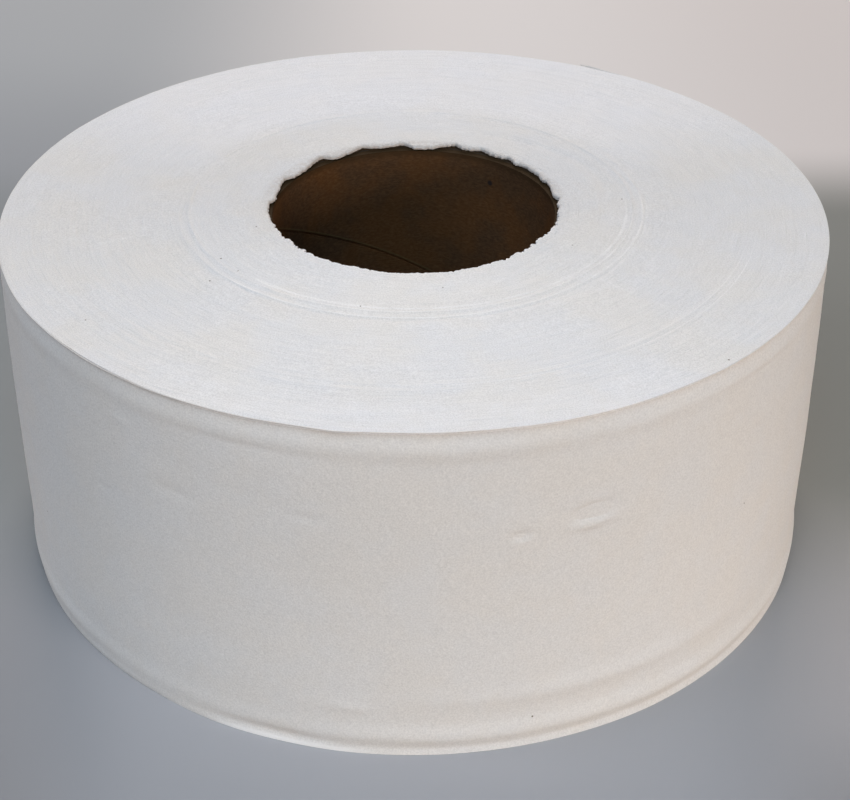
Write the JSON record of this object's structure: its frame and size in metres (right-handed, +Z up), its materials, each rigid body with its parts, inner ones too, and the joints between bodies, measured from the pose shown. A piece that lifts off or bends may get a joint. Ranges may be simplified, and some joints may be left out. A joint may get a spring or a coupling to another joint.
{
  "type": "toilet paper roll",
  "caption": "Wide flat roll of white tissue wound on a brown board core, with ringed ends, crimped edges and a torn fringe round the bore.",
  "frame": {"origin": "centre of the end face that the roll stands on", "axes": "+Z up along the core's axis; -Y is the side that is seen first, and the web's loose end is at the back, 62 degrees from +X towards +Y"},
  "size_m": [0.2195, 0.2192, 0.095],
  "materials": {
    "tissue_paper": "soft matte creped tissue",
    "core_board": "matte recycled brown board"
  },
  "bodies": {
    "root": {"paper_winding": "tissue_paper", "core_tube": "core_board"}
  },
  "joints": []
}
